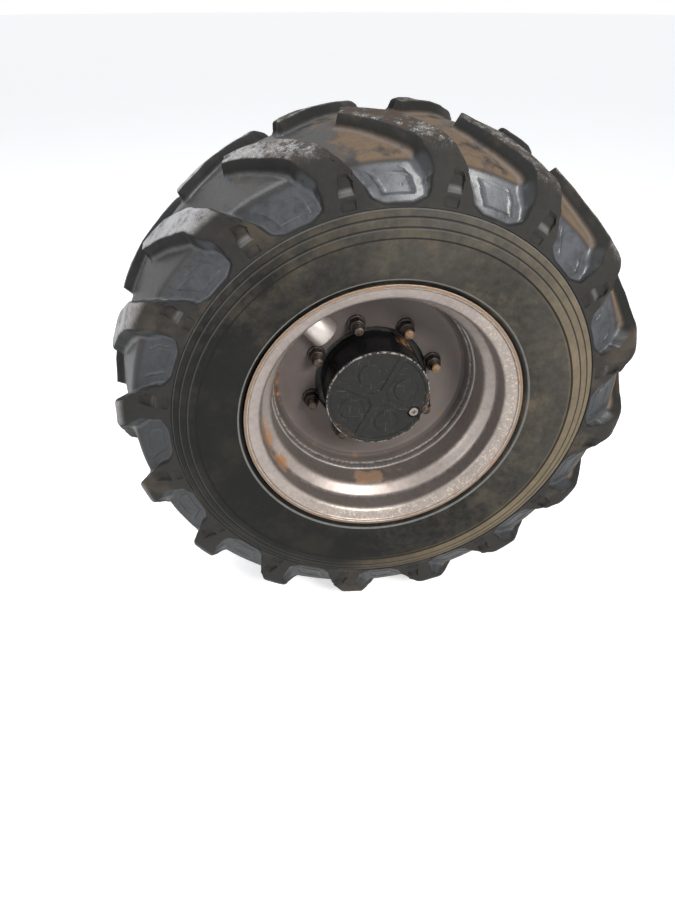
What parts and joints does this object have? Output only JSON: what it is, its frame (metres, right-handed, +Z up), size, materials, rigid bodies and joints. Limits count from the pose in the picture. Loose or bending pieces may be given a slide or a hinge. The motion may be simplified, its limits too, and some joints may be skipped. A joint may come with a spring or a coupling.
{
  "type": "site dumper wheel with planetary hub",
  "caption": "Lugged off-road wheel on a dished rim, bolted to a planetary hub that turns on a bored spindle with a brake housing and bolt-on flange.",
  "frame": {"origin": "centre of the brake housing's mounting face, where the axle beam bolts on", "axes": "+Y along the wheel's axis towards the machine, so the outer face of the wheel looks to -Y; +Z up; +X to the right when the outer face is seen"},
  "size_m": [1.0732, 0.447, 1.0732],
  "materials": {
    "tyre_rubber": "worn black rubber with dried mud in the grooves",
    "rim_paint": "dull silver paint, dusty, rusted at the lip",
    "disc_paint": "dull grey-brown paint under dust",
    "stud_steel": "oily dark steel, rusted ends",
    "nut_steel": "dark oiled steel with rust",
    "guard_steel": "bare bright sheet steel",
    "valve_rubber": "matt black",
    "valve_plastic": "matt black",
    "axle_paint": "black painted casting",
    "seal_rubber": "black rubber",
    "cover_paint": "black painted casting, scratched, bare at the edge",
    "plug_steel": "bare steel, dusty",
    "shaft_steel": "machined steel, oily"
  },
  "bodies": {
    "axle_end": {"brake_housing": "axle_paint", "spindle": "axle_paint", "spindle_bolts": "nut_steel", "brake_port": "plug_steel", "bleed_screw": "plug_steel", "shaft_seal": "seal_rubber"},
    "wheel": {"tyre": "tyre_rubber", "rim_barrel": "rim_paint", "rim_disc": "disc_paint", "disc_weld": "rim_paint", "wheel_studs": "stud_steel", "wheel_nuts": "nut_steel", "valve_guard": "guard_steel", "valve_stem": "valve_rubber", "valve_cap": "valve_plastic", "hub": "axle_paint", "hub_seal": "seal_rubber", "planet_cover": "cover_paint", "oil_plug": "plug_steel"},
    "half_shaft": {"half_shaft": "shaft_steel"}
  },
  "joints": [
    {"name": "wheel_spin", "type": "hinge", "parent": "axle_end", "child": "wheel", "pos_m": [0, -0.241, 0], "axis": [0, 1, 0], "continuous": true},
    {"name": "shaft_spin", "type": "hinge", "parent": "axle_end", "child": "half_shaft", "pos_m": [0, -0.067, 0], "axis": [0, 1, 0], "continuous": true}
  ],
  "couplings": [
    {"joint": "shaft_spin", "follows": "wheel_spin", "ratio": 6}
  ]
}
